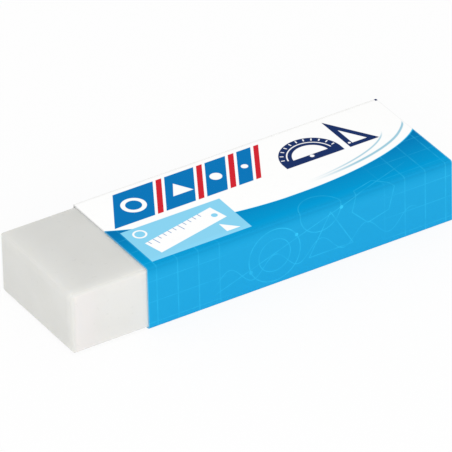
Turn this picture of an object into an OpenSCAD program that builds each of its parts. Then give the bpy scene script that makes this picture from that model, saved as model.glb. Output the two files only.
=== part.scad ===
// Desk eraser: a white vinyl block in a folded card sleeve that slides along it.
// X runs along the block, with the bare rubbing end at -X. Z is up and the table is at z = 0.
// The origin is the middle of the footprint.

/* [Rubber block] */
// Length of the rubber block
block_len = 64.6; // [58:0.1:80]
// Radius of the block's rounded edges and corners
block_edge_r = 0.4; // [0.3:0.1:2]

/* [Card sleeve] */
// Length of the sleeve along the block
sleeve_len = 52.4; // [30:0.1:56]
// Outer width of the sleeve
sleeve_w = 21; // [15:0.1:30]
// Outer height of the sleeve
sleeve_h = 10.5; // [9:0.1:15]
// Thickness of the card
card_t = 0.2; // [0.15:0.01:0.4]
// Inner radius of each fold
fold_r = 0.2; // [0.1:0.05:0.5]
// Height of the glue flap's top edge above the table
flap_top_z = 7.6; // [4:0.1:8]
// Length cut off each end of the flap's top edge, so that its corners stay out of sight
flap_taper = 2; // [0:0.1:6]

/* [Fit] */
// Gap between the block and the card on each side
slide_gap = 0.05; // [0.02:0.01:0.15]
// Depth of the block's far end inside the sleeve's far edge
end_recess = 0.4; // [0:0.1:2]

/* [Hidden] */
$fn = 48;
// Outer radius of each fold
fold_outer_r = fold_r + card_t;
// Bare length of block in front of the sleeve
bare_len = block_len + end_recess - sleeve_len;
// Length of the whole eraser
total_len = bare_len + sleeve_len;
// The block fills the folded tube, which has one card wall below, above and in front,
// and two at the back, where the side wall is glued over the flap
block_w = sleeve_w - 3 * card_t - 2 * slide_gap;
block_h = sleeve_h - 2 * card_t - 2 * slide_gap;
block_centre_y = -card_t / 2;
// Flat lengths of the card's four walls, in the order in which it wraps the block
back_wall = sleeve_h - 2 * fold_outer_r;
top_wall = sleeve_w - 2 * fold_outer_r;
front_wall = sleeve_h - 2 * fold_outer_r;
bottom_wall = sleeve_w - card_t - 2 * fold_outer_r;
WALLS = [back_wall, top_wall, front_wall, bottom_wall];

// Rectangle with round corners, centred on the origin
module rounded_rect(w, h, r) {
    square([w, h - 2 * r], center = true);
    square([w - 2 * r, h], center = true);
    for (x = [-1, 1], y = [-1, 1])
        translate([x * (w / 2 - r), y * (h / 2 - r)]) circle(r = r);
}

// Box with every edge and corner rounded, centred on the origin: a rounded slab runs along
// each axis between the others' flat faces, and a ball closes each corner
module rounded_box(l, w, h, r) {
    inner_l = l - 2 * r;
    inner_w = w - 2 * r;
    inner_h = h - 2 * r;
    rotate([90, 0, 90]) linear_extrude(height = inner_l, center = true) rounded_rect(w, h, r);
    rotate([90, 0, 0]) linear_extrude(height = inner_w, center = true) rounded_rect(l, h, r);
    linear_extrude(height = inner_h, center = true) rounded_rect(l, w, r);
    for (x = [-1, 1], y = [-1, 1], z = [-1, 1])
        translate([x * inner_l / 2, y * inner_w / 2, z * inner_h / 2]) sphere(r = r);
}

// Quarter turn of the card to the left: it starts at the origin heading along +X,
// with the card's outer face on the right
module fold_arc() {
    translate([0, fold_outer_r]) intersection() {
        difference() {
            circle(r = fold_outer_r);
            circle(r = fold_r);
        }
        translate([0, -fold_outer_r]) square(fold_outer_r);
    }
}

// The card seen on edge: wall i lies flat, its fold follows, and the rest starts after that
module folded_walls(i = 0) {
    square([WALLS[i], card_t]);
    translate([WALLS[i], 0]) {
        fold_arc();
        if (i < len(WALLS) - 1)
            translate([fold_outer_r, fold_outer_r]) rotate(90) folded_walls(i + 1);
    }
}

// Glue flap seen from its face, standing on the last fold, with its ends cut back to a slope
module flap_face() {
    flap_h = flap_top_z - fold_outer_r;
    polygon([
        [0, 0],
        [sleeve_len, 0],
        [sleeve_len - flap_taper, flap_h],
        [flap_taper, flap_h]
    ]);
}

// Vinyl block with softly rounded edges
module eraser_block() {
    color("whitesmoke")
        translate([(block_len - total_len) / 2, block_centre_y, card_t + slide_gap + block_h / 2])
            rounded_box(block_len, block_w, block_h, block_edge_r);
}

// Printed card wrapped round the block and glued over its flap behind. It starts at the raw
// lower edge of the back wall, level with the top of the bottom fold, and ends in the flap
module card_sleeve() {
    color("deepskyblue") translate([total_len / 2 - sleeve_len, 0, 0]) {
        rotate([90, 0, 90])
            linear_extrude(height = sleeve_len)
                translate([sleeve_w / 2, fold_outer_r]) rotate(90) folded_walls();
        translate([0, sleeve_w / 2 - card_t, fold_outer_r])
            rotate([90, 0, 0]) linear_extrude(height = card_t) flap_face();
    }
}

eraser_block();
card_sleeve();
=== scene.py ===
"""Desk eraser: a vinyl block in a folded, printed card sleeve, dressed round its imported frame."""

import math

import bmesh
import bpy
from mathutils import Matrix, Vector


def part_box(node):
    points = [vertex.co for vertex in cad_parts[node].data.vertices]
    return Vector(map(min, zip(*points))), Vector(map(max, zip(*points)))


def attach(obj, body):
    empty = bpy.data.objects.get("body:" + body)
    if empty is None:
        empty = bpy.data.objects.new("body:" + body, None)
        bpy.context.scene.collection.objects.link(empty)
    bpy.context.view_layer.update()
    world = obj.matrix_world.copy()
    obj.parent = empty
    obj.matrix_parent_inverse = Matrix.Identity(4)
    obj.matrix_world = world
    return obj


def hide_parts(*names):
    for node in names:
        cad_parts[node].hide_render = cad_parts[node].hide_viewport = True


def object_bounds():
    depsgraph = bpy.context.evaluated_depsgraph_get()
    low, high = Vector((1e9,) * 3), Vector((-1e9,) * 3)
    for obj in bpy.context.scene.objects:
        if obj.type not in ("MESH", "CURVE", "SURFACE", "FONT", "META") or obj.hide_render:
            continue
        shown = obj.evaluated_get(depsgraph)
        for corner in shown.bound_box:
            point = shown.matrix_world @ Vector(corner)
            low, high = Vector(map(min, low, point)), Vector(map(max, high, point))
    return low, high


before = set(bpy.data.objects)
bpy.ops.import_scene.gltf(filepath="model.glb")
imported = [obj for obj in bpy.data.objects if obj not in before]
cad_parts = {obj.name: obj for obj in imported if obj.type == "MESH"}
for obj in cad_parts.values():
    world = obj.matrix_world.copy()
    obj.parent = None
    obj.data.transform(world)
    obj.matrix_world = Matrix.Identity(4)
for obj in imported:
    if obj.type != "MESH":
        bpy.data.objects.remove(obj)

bl_info = {
    "name": "Sleeved Desk Eraser",
    "version": (1, 0, 0),
    "blender": (4, 5, 0),
    "location": "View3D > Sidebar > Eraser",
    "description": "Vinyl eraser block in a folded and printed card sleeve",
    "category": "Object",
}

CAD_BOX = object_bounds()
BLOCK_LOW, BLOCK_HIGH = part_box("eraser_block")
SLEEVE_LOW, SLEEVE_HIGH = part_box("card_sleeve")
MM = 0.001
MICRON = 0.000001
QUARTER = math.pi / 2
# The top of the sleeve, in millimetres
TOP_LENGTH = (SLEEVE_HIGH.x - SLEEVE_LOW.x) / MM
TOP_WIDTH = (SLEEVE_HIGH.y - SLEEVE_LOW.y) / MM


# Settings


def length(name, description, default_mm):
    """A size property that is written in millimetres and kept in metres."""
    return bpy.props.FloatProperty(
        name=name, description=description, default=default_mm * MM, unit="LENGTH", precision=5
    )


def share(name, description, default):
    """A property from 0 to 1."""
    return bpy.props.FloatProperty(
        name=name, description=description, default=default, min=0, max=1, subtype="FACTOR"
    )


def angle(name, description, default_degrees):
    """An angle property that is written in degrees."""
    return bpy.props.FloatProperty(
        name=name, description=description, default=math.radians(default_degrees), subtype="ANGLE"
    )


def colour(name, description, default):
    """A colour property, as scene-linear red, green and blue."""
    return bpy.props.FloatVectorProperty(
        name=name, description=description, default=default, size=3, min=0, max=1, subtype="COLOR"
    )


class BlockSettings(bpy.types.PropertyGroup):
    """Form and finish of the vinyl block."""

    edge_radius: length("Edge radius", "Radius of the block's rounded edges", 0.4)
    edge_segments: bpy.props.IntProperty(
        name="Edge segments", description="Facets round each edge", default=10, min=3
    )
    vinyl: colour("Vinyl", "Pale grey-white of the block", (0.656, 0.656, 0.632))
    shade: colour("Shade", "Slightly darker mottling", (0.636, 0.636, 0.61))
    # Painted highlight: paler vinyl along the top's edges and in the worn bands
    rim_highlight_tone: colour("Rim tone", "Paler vinyl along the top's edges", (0.697, 0.697, 0.672))
    # Partly painted light: a warmer, slightly lighter vinyl where the light falls on the near side
    warm_lit_tone: colour("Warm tone", "Faintly warmer vinyl on the near side", (0.688, 0.652, 0.65))
    # Painted shade on the rounded edges, which holds back their highlights
    bend_shade_tone: colour("Bend tone", "Rubbed vinyl on the rounded edges", (0.59, 0.59, 0.57))
    fleck_tone: colour("Fleck tone", "Small dark flecks in the vinyl", (0.45, 0.45, 0.43))
    roughness: share("Roughness", "Satin roughness of the vinyl", 0.62)
    wear: length("Wear", "Width of the soft, worn band next to each edge", 1.8)
    # Width of the painted highlight along the top's edges, and reach of the painted warm light on
    # the near side
    rim: length("Rim", "Width of the paler band along the top's edges", 6.0)
    softness: length("Softness", "How far light travels inside the vinyl", 1.0)


class SleeveSettings(bpy.types.PropertyGroup):
    """Form of the folded card."""

    card: length("Card", "Thickness of the card", 0.218)
    fold_radius: length("Fold radius", "Outer radius of each fold", 0.4)
    fold_steps: bpy.props.IntProperty(
        name="Fold steps", description="Facets round each fold", default=10, min=3
    )
    fold_margin: length("Fold margin", "Flat strip kept next to each fold", 0.2)
    flap_top: length("Flap top", "Height of the glue flap's top edge", 7.6)
    flap_taper: length("Flap taper", "Length cut off each end of the flap's top edge", 2)
    glue: length("Glue", "Film between the flap and the back wall", 0.005)
    crease: length("Crease", "Width of the soft band on each side of the front top fold", 2.4)


class PrintSettings(bpy.types.PropertyGroup):
    """Inks of the printed design."""

    white: colour("White", "Unprinted coated card", (0.985, 0.985, 0.98))
    sky: colour("Sky blue", "Ink of the main field", (0.001, 0.316, 0.645))
    # Partly painted sheen: duller blue on the front wall, blended in across the front fold
    sky_side_sheen: colour("Side sky blue", "Main field beyond the front fold", (0.014, 0.32, 0.598))
    # Partly print and partly painted shade: deeper blue on the top, fading towards the folds
    sky_deep: colour("Deep sky blue", "Heavier tint across the top", (0.001, 0.15, 0.405))
    line: colour("Line", "Faint line drawing on the blue", (0.035, 0.50, 0.80))
    pale: colour("Pale blue", "Ink of the small panel", (0.252, 0.65, 0.874))
    arc: colour("Arc", "Thin lines on the white field", (0.34, 0.60, 0.72))
    deep: colour("Deep blue", "Ink of the wide stripes", (0.003, 0.18, 0.485))
    red: colour("Red", "Ink of the narrow stripes", (0.64, 0.02, 0.033))
    navy: colour("Navy", "Ink of the instruments", (0.012, 0.031, 0.126))
    board: colour("Board", "Uncoated inside and cut edges of the card", (0.85, 0.85, 0.83))
    board_shade: colour("Board shade", "Darker fibres of the uncoated card", (0.77, 0.77, 0.75))


class StageSettings(bpy.types.PropertyGroup):
    """Camera and light."""

    azimuth: angle("Azimuth", "Turn of the camera round the eraser", -30.884)
    elevation: angle("Elevation", "Height of the camera above the horizon", 32.885)
    roll: angle("Roll", "Tilt of the camera about its view", -1.527)
    distance: length("Distance", "From the camera to its aim", 1112.3)
    aim_side: length("Aim side", "Aim to the right of the middle, in the picture", -0.211)
    aim_up: length("Aim up", "Aim above the middle, in the picture", -0.130)
    lens: bpy.props.FloatProperty(
        name="Lens", description="Focal length in millimetres, on a 36 mm sensor", default=604.61
    )
    room_level: bpy.props.FloatProperty(
        name="Room level", description="Light from all round, where 1 is white", default=0.875
    )
    key_watts: bpy.props.FloatProperty(
        name="Key watts", description="Power of the soft light at the front", default=3.1
    )
    key_size: length("Key size", "Side of the soft light at the front", 450)
    key_distance: length("Key distance", "From the soft light to the eraser", 800)


# Shader expressions


class Paint:
    """Node tree of a material or a world. It makes nodes and hands out their sockets as fields."""

    def __init__(self, owner):
        owner.use_nodes = True
        self.owner = owner
        self.tree = owner.node_tree
        self.tree.nodes.clear()

    def node(self, kind, settings=None, values=None):
        """One node: its settings are set first, then the values or links of its sockets."""
        made = self.tree.nodes.new(kind)
        for key, value in (settings or {}).items():
            if key == "stops":
                fill_ramp(made.color_ramp, value)
            else:
                setattr(made, key, value)
        for key, value in (values or {}).items():
            socket = made.inputs[key]
            if isinstance(value, Field):
                self.tree.links.new(value.socket, socket)
            elif socket.type == "RGBA":
                socket.default_value = (*value, 1)
            else:
                socket.default_value = value
        return made

    def field(self, kind, settings=None, values=None, output=0):
        """The wanted output of a new node, as a field."""
        return Field(self, self.node(kind, settings, values).outputs[output])

    def mix(self, mask, under, over):
        """The colour under, covered by the colour over where the mask is 1."""
        values = {0: mask, 6: under, 7: over}
        return self.field("ShaderNodeMix", {"data_type": "RGBA"}, values, output=2)

    def noise(self, where, scale, detail=2.0):
        """A smooth random number round a half, with so many waves to the metre."""
        values = {"Vector": where, "Scale": scale, "Detail": detail}
        return self.field("ShaderNodeTexNoise", None, values)

    def relief(self, height):
        """A normal that shows the height, in metres, as relief."""
        return self.field("ShaderNodeBump", None, {"Height": height, "Distance": 1.0})

    def axes(self, where):
        """The three parts of a vector."""
        split = self.node("ShaderNodeSeparateXYZ", None, {0: where})
        return [Field(self, part) for part in split.outputs]

    def finish(self, surface, output="ShaderNodeOutputMaterial"):
        """Sends a shader to the output, and gives back the finished material or world."""
        self.node(output, None, {"Surface": surface})
        return self.owner


def fill_ramp(ramp, stops):
    """Gives a ramp hard steps, each of which starts at its place."""
    ramp.interpolation = "CONSTANT"
    ramp.elements.remove(ramp.elements[-1])
    ramp.elements[0].position = stops[0][0]
    ramp.elements[0].color = (*stops[0][1], 1)
    for place, shade in stops[1:]:
        ramp.elements.new(place).color = (*shade, 1)


class Field:
    """A socket whose arithmetic adds Math nodes."""

    def __init__(self, paint, socket):
        self.paint = paint
        self.socket = socket

    def operate(self, operation, *values):
        """A Math node on these values."""
        inputs = dict(enumerate(values))
        return self.paint.field("ShaderNodeMath", {"operation": operation}, inputs)

    def __add__(self, other):
        return self.operate("ADD", self, other)

    def __radd__(self, other):
        return self.operate("ADD", other, self)

    def __sub__(self, other):
        return self.operate("SUBTRACT", self, other)

    def __rsub__(self, other):
        return self.operate("SUBTRACT", other, self)

    def __mul__(self, other):
        return self.operate("MULTIPLY", self, other)

    def __rmul__(self, other):
        return self.operate("MULTIPLY", other, self)

    def __neg__(self):
        return self.operate("MULTIPLY", self, -1.0)

    def __abs__(self):
        return self.operate("ABSOLUTE", self)

    def __or__(self, other):
        """The greater: either of two masks, or where two shapes overlap."""
        return self.operate("MAXIMUM", self, other)

    def __and__(self, other):
        """The lesser: both of two masks, or two shapes together."""
        return self.operate("MINIMUM", self, other)

    def root(self):
        return self.operate("SQRT", self)

    def sine(self):
        return self.operate("SINE", self)

    def bearing(self, x):
        """The angle round the origin of the point whose y is this value."""
        return self.operate("ARCTAN2", self, x)

    def wrap(self, low, high):
        """The value brought between low and high by whole turns."""
        return self.operate("WRAP", self, high, low)

    def step(self, low, high):
        """0 at low, 1 at high, and smooth between them."""
        values = {"Value": self, "From Min": low, "From Max": high}
        return self.paint.field("ShaderNodeMapRange", {"interpolation_type": "SMOOTHSTEP"}, values)


# Printed shapes. A shape is a field of distances in millimetres, negative inside it.

# Half the width of the soft edge of the ink
INK_EDGE = 0.03


def inked(shape):
    """Mask of the ink inside a shape."""
    return shape.step(INK_EDGE, -INK_EDGE)


def outline(shape, width):
    """The line of this width along a shape's edge."""
    return abs(shape) - width / 2


def half_plane(x, y, degrees, reach):
    """All up to this reach from the origin, in the direction of the angle."""
    turn = math.radians(degrees)
    return x * math.cos(turn) + y * math.sin(turn) - reach


def disc(x, y, radius):
    """A round spot about the origin."""
    return (x * x + y * y).root() - radius


def plate(x, y, half_length, half_width):
    """A rectangle about the origin."""
    return (abs(x) - half_length) | (abs(y) - half_width)


def polygon(x, y, sides):
    """Where the half planes overlap, each given by its direction and reach."""
    shape = half_plane(x, y, *sides[0])
    for side in sides[1:]:
        shape = shape | half_plane(x, y, *side)
    return shape


def regular(count, reach, turn):
    """The sides of a regular polygon."""
    return [(turn + 360 * i / count, reach) for i in range(count)]


# Making pieces


def finished_piece(name, bm, materials, body, node):
    """Makes a piece of a bmesh, which rides on a body and stands for a CAD node."""
    mesh = bpy.data.meshes.new(name)
    bm.to_mesh(mesh)
    bm.free()
    for material in materials:
        mesh.materials.append(material)
    piece = bpy.data.objects.new(name, mesh)
    bpy.context.scene.collection.objects.link(piece)
    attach(piece, body)
    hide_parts(node)
    return piece


# Vinyl block


def edge_depths(place, reach):
    """Depths into the bands of this width next to the bare end, the near side and the top."""
    x, y, z = place
    end = (BLOCK_LOW.x + reach - x) | 0.0
    near = (BLOCK_LOW.y + reach - y) | 0.0
    top = (z - (BLOCK_HIGH.z - reach)) | 0.0
    return end, near, top


def worn_away(place, block):
    """How far the faces would bow in at their worn edges, by the square of each depth."""
    end, near, top = edge_depths(place, block.wear)
    return (end * end + near * near + top * top) * (0.5 / block.wear)


def rounded_edges(place, block):
    """Mask of the places where one face bends into the next."""
    end, near, top = edge_depths(place, block.edge_radius)
    return (end + near + top).step(1.05 * block.edge_radius, 1.35 * block.edge_radius)


def upright_edge(place, block):
    """Mask of the near upright edge of the bare end, wider than its bend."""
    end, near, _ = edge_depths(place, block.wear)
    return (end & near).step(0.6 * block.wear, 0.92 * block.wear)


def top_rim_highlight(place, block):
    """Mask of the painted highlight, which grows towards the edges of the top."""
    end, near, _ = edge_depths(place, block.rim)
    _, _, top = edge_depths(place, block.edge_radius)
    return (end | near * 0.7).step(0, block.rim) & top.step(0, block.edge_radius)


def near_side(place, block):
    """Weak mask of the near side, which grows towards the bare end: where the warmer light is
    painted.
    """
    end, near, _ = edge_depths(place, block.rim)
    fading = (end & block.rim / 2).step(0, block.rim) * 0.7
    return near.step(0.93 * block.rim, block.rim) * (fading + 0.15)


def satin_vinyl(block):
    """Pale vinyl, faintly mottled, with a fine satin grain and a little depth, and with painted
    highlights, shade and warm light at its edges and near side.
    """
    paint = Paint(bpy.data.materials.new("satin_vinyl"))
    where = paint.field("ShaderNodeTexCoord", output=3)
    place = paint.axes(where)
    worn = worn_away(place, block)
    # Painted highlight in the worn bands next to the edges
    edge_highlight = worn.step(0.54 * block.wear, 0.97 * block.wear) * 0.1
    cloud = paint.noise(where, 160.0, 3.0)
    grain = paint.noise(where, 4200.0)
    fleck = paint.noise(where, 1500.0, 1.0).step(0.70, 0.76)
    tone = paint.mix(cloud.step(0.35, 0.7), block.vinyl, block.shade)
    # Painted warmer light on the near side
    tone = paint.mix(near_side(place, block), tone, block.warm_lit_tone)
    # Painted highlight along the edges
    tone = paint.mix(edge_highlight | top_rim_highlight(place, block), tone, block.rim_highlight_tone)
    # Painted shade on the rounded edges and the near upright edge, holding back their highlights
    shaded_bends = rounded_edges(place, block) * 0.6 | upright_edge(place, block)
    tone = paint.mix(shaded_bends, tone, block.bend_shade_tone)
    tone = paint.mix(fleck * 0.12, tone, block.fleck_tone)
    skin = {
        "Base Color": tone,
        "Roughness": block.roughness + (grain - 0.5) * 0.12,
        "Specular IOR Level": 0.1,
        "Subsurface Weight": 0.8,
        "Subsurface Radius": (1.0, 0.95, 0.85),
        "Subsurface Scale": block.softness,
        "Normal": paint.relief(grain * (5 * MICRON) + cloud * (10 * MICRON) - worn * 0.36),
    }
    return paint.finish(paint.field("ShaderNodeBsdfPrincipled", None, skin))


class ERASER_OT_block(bpy.types.Operator):
    """Make the vinyl block with its softly rounded edges"""

    bl_idname = "eraser.block"
    bl_label = "Vinyl Block"

    def execute(self, context):
        block = context.scene.vinyl_block
        bm = bmesh.new()
        bmesh.ops.create_cube(bm, size=1.0)
        bmesh.ops.scale(bm, vec=BLOCK_HIGH - BLOCK_LOW, verts=bm.verts)
        bmesh.ops.translate(bm, vec=(BLOCK_HIGH + BLOCK_LOW) / 2, verts=bm.verts)
        bmesh.ops.bevel(
            bm,
            geom=bm.edges[:],
            offset=block.edge_radius,
            offset_type="OFFSET",
            affect="EDGES",
            segments=block.edge_segments,
            profile=0.5,
            material=-1,
        )
        for face in bm.faces:
            face.smooth = True
        finished_piece("vinyl_block", bm, [satin_vinyl(block)], "block", "eraser_block")
        return {"FINISHED"}


# Card sleeve


def card_walls(sleeve):
    """Flat lengths of the card's walls and flap, in the order in which they wrap the block."""
    _, width, height = SLEEVE_HIGH - SLEEVE_LOW
    folds = 2 * sleeve.fold_radius
    bottom = width - sleeve.card - sleeve.glue - folds
    flap = sleeve.flap_top - sleeve.fold_radius
    return [height - folds, width - folds, height - folds, bottom, flap]


def fold_length(sleeve):
    """Length of the card's outer face round one fold."""
    return QUARTER * sleeve.fold_radius


def blank_width(sleeve):
    """Distance round the card's outer face, from its raw edge to the flap's top edge."""
    return sum(card_walls(sleeve)) + 4 * fold_length(sleeve)


def folded(around, sleeve):
    """The place in the end view, as (y, z), of a point so far round the blank."""
    place = Vector((SLEEVE_HIGH.y, SLEEVE_LOW.z + sleeve.fold_radius))
    ahead = Vector((0, 1))
    for wall in card_walls(sleeve):
        if around <= wall:
            break
        around -= wall
        inward = Vector((-ahead.y, ahead.x)) * sleeve.fold_radius
        centre = place + ahead * wall + inward
        turn = min(around, fold_length(sleeve)) / sleeve.fold_radius
        place = centre - Matrix.Rotation(turn, 2) @ inward
        if around <= fold_length(sleeve):
            return place
        around -= fold_length(sleeve)
        ahead = Matrix.Rotation(QUARTER, 2) @ ahead
    return place + ahead * around


def cut_across(bm, point, normal, clear=False):
    """Cuts the blank along a line, and drops what lies beyond it if asked."""
    everything = bm.verts[:] + bm.edges[:] + bm.faces[:]
    bmesh.ops.bisect_plane(bm, geom=everything, plane_co=point, plane_no=normal, clear_outer=clear)


def cut_blank(bm, sleeve):
    """The flat blank: x along the eraser, y round it, with the flap's ends cut to a slope."""
    span = SLEEVE_HIGH.x - SLEEVE_LOW.x
    around = blank_width(sleeve)
    bmesh.ops.create_grid(bm, x_segments=1, y_segments=1, size=0.5)
    bmesh.ops.scale(bm, vec=(span, around, 1), verts=bm.verts)
    bmesh.ops.translate(bm, vec=(SLEEVE_LOW.x + span / 2, around / 2, 0), verts=bm.verts)
    flap = card_walls(sleeve)[-1]
    for end, side in ((SLEEVE_LOW.x, -1), (SLEEVE_HIGH.x, 1)):
        cut_across(bm, (end, around - flap, 0), (side * flap, sleeve.flap_taper, 0), clear=True)
    start = 0.0
    for wall in card_walls(sleeve)[:-1]:
        start += wall
        cut_across(bm, (0, start - sleeve.fold_margin, 0), (0, 1, 0))
        for i in range(sleeve.fold_steps + 1):
            cut_across(bm, (0, start + fold_length(sleeve) * i / sleeve.fold_steps, 0), (0, 1, 0))
        start += fold_length(sleeve)
        cut_across(bm, (0, start + sleeve.fold_margin, 0), (0, 1, 0))


def fold_blank(bm, sleeve):
    """Folds the blank, thickens it inwards, and gives back the corners of its outer face.

    The ink covers the outer face and bleeds over the cut ends.
    """
    for vert in bm.verts:
        vert.co.yz = folded(vert.co.y, sleeve)
    bmesh.ops.reverse_faces(bm, faces=bm.faces[:])
    outer = set(bm.verts)
    bmesh.ops.solidify(bm, geom=bm.faces[:], thickness=sleeve.card)
    for face in bm.faces:
        face.smooth = True
        inked_end = abs(face.normal.x) > 0.5
        face.material_index = 0 if inked_end or outer.issuperset(face.verts) else 1
    for edge in bm.edges:
        edge.smooth = edge.calc_face_angle(0) < math.radians(30)
    return outer


# Strips of the square map that the finish is baked to, each as (start, length)
PRINT_STRIP = (0.005, 0.73)
INSIDE_STRIP = (0.745, 0.2)
END_STRIPS = ((0.955, 0.015), (0.98, 0.015))
AROUND_STRIP = (0.005, 0.96)
RAW_STRIPS = ((0.97, 0.01), (0.985, 0.01))


def along_strip(strip, part):
    """The place in the square map of a point at this part of a strip."""
    start, reach = strip
    return start + reach * part


def lay_out_bake(bm, outer, sleeve, blank, bake):
    """Lays the print, the inside and the cut edges next to each other in the square map."""
    around = blank_width(sleeve) / MM
    for face in bm.faces:
        places = [loop[blank].uv.copy() for loop in face.loops]
        depths = [0 if loop.vert in outer else 1 for loop in face.loops]
        rounds = [place.y for place in places]
        raw_edge = max(rounds) - min(rounds) < 0.001
        for loop, place, depth in zip(face.loops, places, depths):
            x, y = place.x / TOP_LENGTH, place.y / around
            across, down = along_strip(PRINT_STRIP, x), along_strip(AROUND_STRIP, y)
            if min(depths) == 1:
                across = along_strip(INSIDE_STRIP, x)
            elif max(depths) == 1 and raw_edge:
                down = along_strip(RAW_STRIPS[y > 0.5], depth)
            elif max(depths) == 1:
                across = along_strip(END_STRIPS[x > 0.5], depth)
            loop[bake].uv = across, down


def bare_board(inks):
    """Uncoated board with loose fibres, for the inside and the cut edges."""
    paint = Paint(bpy.data.materials.new("bare_board"))
    where = paint.field("ShaderNodeTexCoord", output=3)
    fibre = paint.noise(where, 2600.0, 3.0)
    tone = paint.mix(fibre.step(0.4, 0.65), inks.board, inks.board_shade)
    skin = {
        "Base Color": tone,
        "Roughness": 0.88,
        "Specular IOR Level": 0.25,
        "Normal": paint.relief(fibre * (7 * MICRON)),
    }
    return paint.finish(paint.field("ShaderNodeBsdfPrincipled", None, skin))


# Places on the print in millimetres, where x runs from the mouth and y from the back top fold
BAND_AT = (3.75, 5.3)
PROTRACTOR_AT = (36, 8.4)
SQUARE_AT = (43.6, 6.8)
PANEL_AT = (10.05, 15.2)
# Reach of the thin blue fringe on each side of the white field's edge
FRINGE = 0.05


def printed_card(inks, sleeve):
    """Coated card with the whole design, laid out in millimetres of the flat blank."""
    paint = Paint(bpy.data.materials.new("printed_card"))
    where = paint.field("ShaderNodeUVMap", {"uv_map": "blank"})
    x, around, _ = paint.axes(where)
    y = around - (card_walls(sleeve)[0] + fold_length(sleeve) - sleeve.fold_radius) / MM
    place = paint.field("ShaderNodeTexCoord", output=3)
    mottle = paint.noise(place, 700.0, 3.0)
    fibre = paint.noise(place, 3800.0, 3.0)
    wave = paint.noise(place, 55.0, 1.0)
    # Painted shade along the back top fold, with the dull cut ends
    fold_shade_and_scuff = back_fold_shade(y, mottle) | cut_ends(x) * 0.15

    tint = blue_field(paint, x, y, mottle, inks)
    tint = paint.mix(white_field(x, y, FRINGE) | cut_ends(x) * 0.6, tint, inks.line)
    tint = paint.mix(white_field(x, y, -FRINGE), tint, inks.white)
    tint = paint.mix(echo_arcs(x, y), tint, inks.arc)
    tint = striped_band(paint, *moved(x, y, BAND_AT), tint, inks)
    tools = protractor(*moved(x, y, PROTRACTOR_AT)) & set_square(*moved(x, y, SQUARE_AT))
    tint = paint.mix(inked(tools), tint, inks.navy)
    tint = ruler_panel(paint, *moved(x, y, PANEL_AT), tint, inks)
    # Painted shade along the back top fold, and scuffed cut ends showing the board
    tint = paint.mix(fold_shade_and_scuff, tint, inks.board)
    tint = paint.mix(inked(corner_speck(x, y)), tint, inks.navy)
    tint = paint.mix((cut_ends(x) | front_fold(y)) * 0.06, tint, inks.navy)
    tint = paint.mix(mottle.step(0.55, 0.8) * 0.02, tint, inks.navy)
    relief = fibre * (5 * MICRON) + wave * (30 * MICRON) - crease_depth(paint.axes(place), sleeve)
    skin = {
        "Base Color": tint,
        "Roughness": 0.42 + (fibre - 0.5) * 0.16 + fold_shade_and_scuff * 0.3,
        "Specular IOR Level": 0.004,
        "Normal": paint.relief(relief),
    }
    return paint.finish(paint.field("ShaderNodeBsdfPrincipled", None, skin))


def crease_depth(place, sleeve):
    """How far the card bows in next to its front top fold, deeper in front than on top."""
    _, across, up = place
    on_top = (SLEEVE_LOW.y + sleeve.crease - across) | 0.0
    in_front = (up - (SLEEVE_HIGH.z - sleeve.crease)) | 0.0
    return (on_top * on_top * 0.26 + in_front * in_front * 0.4) * (1 / sleeve.crease)


def moved(x, y, place):
    """The same point, measured from a place on the print."""
    return x - place[0], y - place[1]


def back_fold_shade(y, mottle):
    """Painted shade: a greyer band along the back top fold, where the card turns away from the
    light.
    """
    return abs(y - 0.1).step(0.7, 0.2) * (0.35 + mottle * 0.5)


def front_fold(y):
    """Darker line along the front top fold."""
    return abs(y - (TOP_WIDTH - 0.05)).step(0.6, 0.2)


def cut_ends(x):
    """Dull edge of the print along the two cut ends."""
    return x.step(0.05, 0.01) | x.step(TOP_LENGTH - 0.18, TOP_LENGTH - 0.1)


def corner_speck(x, y):
    """A small dark speck at the far end of the back top fold."""
    return plate(x - (TOP_LENGTH - 0.2), y - 0.15, 0.2, 0.58)


def blue_field(paint, x, y, mottle, inks):
    """Blue ink with its faint lines: deepest along the top, partly as painted shade, and duller
    beyond the front fold, partly as painted sheen.
    """
    heaviest, reach = 7, 14
    tint = paint.mix(abs(y - heaviest).step(reach, 0), inks.sky, inks.sky_deep)
    tint = paint.mix(y.step(TOP_WIDTH - 2, TOP_WIDTH + 2), tint, inks.sky_side_sheen)
    return paint.mix(faint_lines(x, y) * (mottle * 1.4 - 0.2), tint, inks.line)


def sweep(x, y):
    """The white field's shape: a wide arc to the left of its crest and half an oval to the right."""
    crest = 29
    radius, drop = 63.5, 47.5
    reach, rise, foot = 25, 8.64, 7.31
    left = (crest - x) | 0.0
    right = (x - crest) | 0.0
    return disc(left, y + drop, radius) | disc(right * (rise / reach), (y - foot) | 0.0, rise)


def white_field(x, y, spread):
    """White part of the top, between the sweep in front and the far side of the back fold."""
    return inked(sweep(x, y) - spread) & y.step(-0.7, -0.62)


def echo_arcs(x, y):
    """Two thin pale arcs inside the white field's edge, which fade out at both ends."""
    edge = sweep(x, y)
    tip = (x - 50) | 0.0
    outer_gap = 2.82 - x * 0.039 - tip * tip * 0.033
    outer_width = (y - 7.2) * 0.03
    outer = abs(edge + outer_gap).step(outer_width * 1.5, outer_width * 0.5) * y.step(7.2, 8.4)
    inner_gap = 1.95
    inner_width = (y - 7) * 0.035
    inner = abs(edge + inner_gap).step(inner_width, inner_width * 0.3) * y.step(8, 10)
    return (outer | inner * 0.85) * x.step(31, 42)


def faint_lines(x, y):
    """Squared paper at both ends of the blue, and a loose drawing between them."""
    ends = x.step(16, 9) | x.step(38, 45)
    middle = x.step(10, 15) & x.step(47, 42) & y.step(10, 13)
    return (squared_paper(x, y) & ends * 0.55) | (loose_drawing(x, y) & middle * 1.4)


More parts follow.
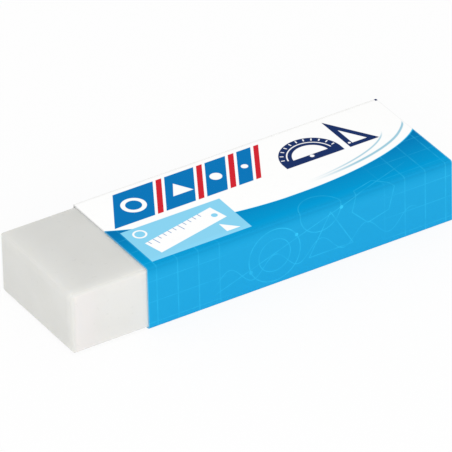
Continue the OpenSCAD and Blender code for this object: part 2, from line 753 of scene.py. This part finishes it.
def squared_paper(x, y):
    """Thin lines of a square grid."""
    half_pitch = 1.775
    across = abs((x - 1.5).wrap(-half_pitch, half_pitch))
    down = abs((y - 1.9).wrap(-half_pitch, half_pitch))
    return inked((across & (down + 0.03)) - 0.08)


def loose_drawing(x, y):
    """Overlapping outlines of plain figures, with a few bright points where lines meet."""
    big_round = outline(disc(x - 21.5, y - 26.2, 4.4), 0.16)
    small_round = outline(disc(x - 21.5, y - 26.2, 2.7), 0.12)
    ring = outline(disc(x - 29.5, y - 21.4, 3.5), 0.14)
    hexagon = outline(polygon(x - 38.6, y - 22.6, regular(6, 3.3, 15)), 0.14)
    triangle = outline(polygon(x - 31.2, y - 26.6, regular(3, 2.2, 90)), 0.14)
    swing = outline(y - 27.6 - (x * 0.8).sine() * 1.5, 0.14)
    slope = outline(half_plane(x - 27, y - 24, 71, 0), 0.12)
    lines = big_round & small_round & ring & hexagon & triangle & swing & slope
    point = 0.3
    left_points = disc(x - 17.4, y - 27.8, point) & disc(x - 25.3, y - 24, point)
    points = left_points & disc(x - 33.1, y - 22, point)
    return inked(lines) * 0.8 | inked(points) * 1.4


def striped_band(paint, x, y, tint, inks):
    """Slanted stripes of deep blue and red that get narrower to the right."""
    slant = x + y * 0.55
    gap, narrow = 0.5, 0.95
    stops = []
    place = 0.0
    for wide in (6.8, 5.0, 3.6, 2.4):
        stops += [(place, inks.deep), (place + wide, inks.white)]
        place += wide + gap
        stops += [(place, inks.red), (place + narrow, inks.white)]
        place += narrow + gap
    reach = place - gap
    stops = [(at / reach, shade) for at, shade in stops]
    ramp = paint.field("ShaderNodeValToRGB", {"stops": stops}, {0: slant * (1 / reach)})
    tint = paint.mix(inked(plate(slant - reach / 2, y, reach / 2, 4)), tint, ramp)
    ring = outline(disc(x - 3.4, y, 1.6), 0.7)
    triangle = polygon(x - 11.2, y - 0.2, regular(3, 1.0, 90))
    cuts = ring & triangle & disc(x - 17.5, y, 0.95) & disc(x - 22.45, y, 0.55)
    return paint.mix(inked(cuts), tint, inks.white)


def protractor(x, y):
    """A protractor with its scale and base bar, measured from the middle of its base."""
    outer, inner = 5.0, 3.0
    radius = disc(x, y, 0)
    arch = (radius - outer) | (inner - radius) | y
    bar = plate(x, y - 0.35, outer, 0.75)
    half_step = math.pi / 24
    scale_radius = 4.5
    spokes = abs(y.bearing(x).wrap(-half_step, half_step)) * scale_radius - 0.1
    marks = spokes | (abs(radius - scale_radius) - 0.28)
    groove = abs(radius - 3.75) - 0.1
    cuts = ((marks & groove) | (y + 0.7)) & (radius - 0.35)
    return (arch & bar) | -cuts


def set_square(x, y):
    """The frame of a set square, with a hole near its right angle."""
    frame_width = 0.9
    triangle = polygon(x, y, ((180, 1.6), (90, 2.7), (-32, 1.5)))
    rim = abs(triangle + frame_width / 2) - frame_width / 2
    return rim | (0.22 - disc(x + 1.1, y - 1.6, 0))


def ruler_panel(paint, x, y, tint, inks):
    """A pale panel with a white ruler laid across it, measured from the panel's middle."""
    tint = paint.mix(inked(plate(x, y, 8.45, 4.5)), tint, inks.pale)
    ahead = half_plane(x, y, -13, 0)
    across = half_plane(x, y, 77, 0)
    ruler = plate(ahead, across, 6.6, 1.75) | (0.5 - disc(ahead - 5.6, across - 0.2, 0))
    short = (abs(ahead.wrap(-0.5, 0.5)) - 0.07) | (across + 0.95)
    long = (abs(ahead.wrap(-2.5, 2.5)) - 0.07) | (across + 0.25)
    scale = (short & long) | (abs(ahead + 0.8) - 5.3) | ruler
    ring = outline(disc(x + 6.2, y + 2.7, 0.95), 0.3)
    corner = polygon(x - 5.8, y - 2.6, ((180, 1.0), (90, 1.0), (-45, 0.2)))
    tint = paint.mix(inked(ruler & ring & corner), tint, inks.white)
    return paint.mix(inked(scale) * 0.8, tint, inks.deep)


class ERASER_OT_sleeve(bpy.types.Operator):
    """Cut, score, fold and print the card sleeve"""

    bl_idname = "eraser.sleeve"
    bl_label = "Card Sleeve"

    def execute(self, context):
        sleeve = context.scene.card_sleeve
        inks = context.scene.sleeve_print
        bm = bmesh.new()
        blank = bm.loops.layers.uv.new("blank")
        bake = bm.loops.layers.uv.new("OFBake")
        cut_blank(bm, sleeve)
        for face in bm.faces:
            for loop in face.loops:
                loop[blank].uv = (loop.vert.co.xy - Vector((SLEEVE_LOW.x, 0))) / MM
        outer = fold_blank(bm, sleeve)
        lay_out_bake(bm, outer, sleeve, blank, bake)
        card = [printed_card(inks, sleeve), bare_board(inks)]
        finished_piece("folded_sleeve", bm, card, "sleeve", "card_sleeve")
        return {"FINISHED"}


# Stage


def seen_ray(paint):
    """1 for what the camera sees, straight or in a reflection, and 0 for what lights the eraser."""
    path = paint.node("ShaderNodeLightPath")
    camera, glossy, through = (
        Field(paint, path.outputs[name])
        for name in ("Is Camera Ray", "Is Glossy Ray", "Is Transmission Ray")
    )
    return camera | glossy | through


def pale_floor():
    """White floor that keeps the eraser's shadow and meets the white room without an edge."""
    paint = Paint(bpy.data.materials.new("pale_floor"))
    lit = paint.field("ShaderNodeBsdfDiffuse", None, {"Color": (0.92, 0.92, 0.92)})
    glow = paint.field("ShaderNodeEmission", None, {"Color": (1, 1, 1), "Strength": 1.0})
    glow_share = seen_ray(paint) * 0.9
    return paint.finish(paint.field("ShaderNodeMixShader", None, {0: glow_share, 1: lit, 2: glow}))


def add_camera(scene, stage):
    """A long lens from above the bare end, rolled a little, as in the photograph."""
    turn, rise = stage.azimuth, stage.elevation
    level = Vector((math.cos(turn), math.sin(turn), 0))
    behind = Vector((math.sin(turn), -math.cos(turn), 0))
    back = behind * math.cos(rise) + Vector((0, 0, math.sin(rise)))
    right = Matrix.Rotation(stage.roll, 3, back) @ level
    up = back.cross(right)
    middle = Vector((0, 0, (CAD_BOX[0].z + CAD_BOX[1].z) / 2))
    aim = middle + right * stage.aim_side + up * stage.aim_up
    camera = bpy.data.cameras.new("camera")
    camera.sensor_fit = "HORIZONTAL"
    camera.sensor_width = 36
    camera.lens = stage.lens
    camera.clip_start = 0.05
    camera.clip_end = 20
    holder = bpy.data.objects.new("camera", camera)
    scene.collection.objects.link(holder)
    facing = Matrix((right, up, back)).transposed().to_4x4()
    holder.matrix_world = Matrix.Translation(aim + back * stage.distance) @ facing
    scene.camera = holder


def add_floor(scene):
    """A wide square floor under the eraser."""
    bm = bmesh.new()
    bmesh.ops.create_grid(bm, x_segments=1, y_segments=1, size=3.0)
    mesh = bpy.data.meshes.new("floor")
    bm.to_mesh(mesh)
    bm.free()
    mesh.materials.append(pale_floor())
    floor = bpy.data.objects.new("floor", mesh)
    scene.collection.objects.link(floor)


def light_room(scene, stage):
    """A white room and one large soft light from the front left."""
    paint = Paint(bpy.data.worlds.new("white_room"))
    strength = stage.room_level + seen_ray(paint) * (1 - stage.room_level)
    room = paint.field("ShaderNodeBackground", None, {"Color": (1, 1, 1), "Strength": strength})
    scene.world = paint.finish(room, "ShaderNodeOutputWorld")
    lamp = bpy.data.lights.new("front_softbox", "AREA")
    lamp.shape = "SQUARE"
    lamp.size = stage.key_size
    lamp.energy = stage.key_watts
    softbox = bpy.data.objects.new("front_softbox", lamp)
    toward = Vector((-0.45, -0.84, 0.31)).normalized()
    softbox.location = toward * stage.key_distance
    softbox.rotation_euler = toward.to_track_quat("Z", "Y").to_euler()
    scene.collection.objects.link(softbox)


class ERASER_OT_stage(bpy.types.Operator):
    """Set up the camera, the floor and the light"""

    bl_idname = "eraser.stage"
    bl_label = "Stage"

    def execute(self, context):
        stage = context.scene.eraser_stage
        add_camera(context.scene, stage)
        add_floor(context.scene)
        light_room(context.scene, stage)
        context.scene.view_settings.view_transform = "Standard"
        return {"FINISHED"}


# Add-on

GROUPS = {
    "eraser_stage": StageSettings,
    "vinyl_block": BlockSettings,
    "card_sleeve": SleeveSettings,
    "sleeve_print": PrintSettings,
}
STEPS = (
    (ERASER_OT_stage, ["eraser_stage"]),
    (ERASER_OT_block, ["vinyl_block"]),
    (ERASER_OT_sleeve, ["card_sleeve", "sleeve_print"]),
)


class ERASER_PT_parts(bpy.types.Panel):
    """Lists the eraser's pieces and their settings"""

    bl_label = "Desk Eraser"
    bl_space_type = "VIEW_3D"
    bl_region_type = "UI"
    bl_category = "Eraser"

    def draw(self, context):
        for operator, names in STEPS:
            box = self.layout.box()
            box.operator(operator.bl_idname)
            for name in names:
                for setting in GROUPS[name].__annotations__:
                    box.prop(getattr(context.scene, name), setting)


CLASSES = (*GROUPS.values(), *(operator for operator, _ in STEPS), ERASER_PT_parts)


def register():
    for made in CLASSES:
        bpy.utils.register_class(made)
    for name, group in GROUPS.items():
        setattr(bpy.types.Scene, name, bpy.props.PointerProperty(type=group))


def unregister():
    for name in GROUPS:
        delattr(bpy.types.Scene, name)
    for made in reversed(CLASSES):
        bpy.utils.unregister_class(made)


def main():
    register()
    bpy.ops.eraser.stage()
    bpy.ops.eraser.block()
    bpy.ops.eraser.sleeve()


if __name__ == "__main__":
    main()
